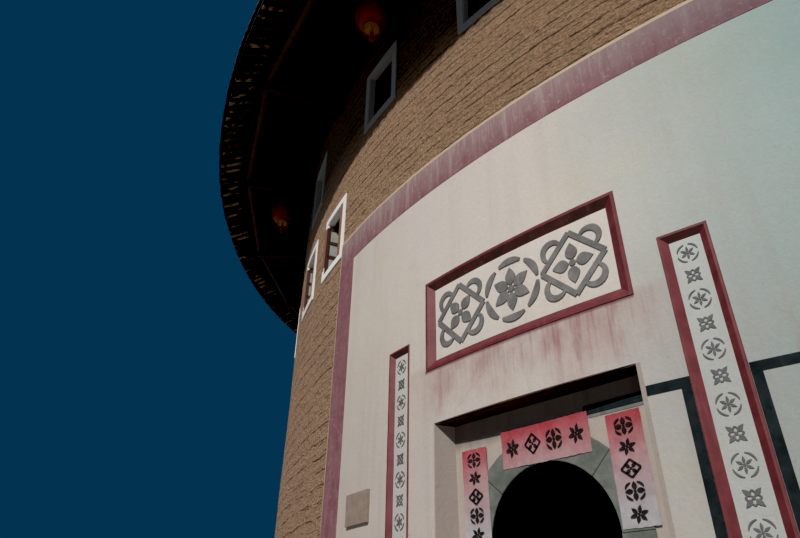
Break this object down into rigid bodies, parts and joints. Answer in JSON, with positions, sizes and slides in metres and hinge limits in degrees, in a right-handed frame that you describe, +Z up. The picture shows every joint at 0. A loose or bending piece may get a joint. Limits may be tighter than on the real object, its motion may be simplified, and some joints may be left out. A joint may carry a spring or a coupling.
{
  "type": "round earth house",
  "caption": "Large round earth house: thick rammed-earth ring wall on a stone footing, plastered gate front with arched doorway, window rows, timber galleries and tiled ring roof.",
  "frame": {"origin": "on the ground at the centre of the ring", "axes": "+Z up, the gate faces -Y, +X to the right seen from outside the gate"},
  "size_m": [35.22, 35.1986, 14.4679],
  "materials": {
    "earth": "rammed earth, rough and grainy, with dark course cracks",
    "stone": "rough field stone and lime mortar",
    "grey_stone": "dressed grey-green granite, mottled and stained",
    "pale_stone": "smooth beige stone slab, bare",
    "plaster": "lime plaster, streaked and stained",
    "border_paint": "plaster painted mauve, faded and washed out",
    "maroon_plaster": "moulded plaster painted maroon, stained at the top",
    "timber": "dark weathered fir",
    "red_timber": "reddish brown fir pole",
    "tile": "grey clay roof tile",
    "red_paper": "crinkled paper, red at the top and faded below",
    "lantern_silk": "red silk over a wire frame, gold caps and tassel"
  },
  "bodies": {
    "root": {"footing_right": "stone", "footing_left": "stone", "wall_gate_right": "earth", "wall_gate_left": "earth", "wall_over_gate": "earth", "wall_right_1": "earth", "wall_left_1": "earth", "wall_right_2": "earth", "wall_left_2": "earth", "wall_right_3": "earth", "wall_left_3": "earth", "wall_right_4": "earth", "wall_left_4": "earth", "wall_back": "earth", "gate_lintel": "timber", "gate_back_wall": "plaster", "arch_stones": "grey_stone", "jamb_right": "grey_stone", "jamb_left": "grey_stone", "threshold": "grey_stone", "gate_plaster": "plaster", "gate_border": "border_paint", "tablet_frame": "maroon_plaster", "tablet_panel": "plaster", "strip_tablet_right": "maroon_plaster", "strip_tablet_left": "maroon_plaster", "notice_stone": "pale_stone", "ground_floor": "stone", "floor_2": "timber", "floor_3": "timber", "floor_4": "timber", "gallery_1": "timber", "gallery_2": "timber", "gallery_3": "timber", "gallery_4": "timber", "ridge_frame": "timber", "roof_front": "tile", "roof_right": "tile", "roof_back": "tile", "roof_left": "tile", "roof_court": "tile", "roof_ridge": "tile", "eave_purlin": "red_timber", "lantern_1": "lantern_silk", "lantern_2": "lantern_silk"}
  },
  "joints": []
}
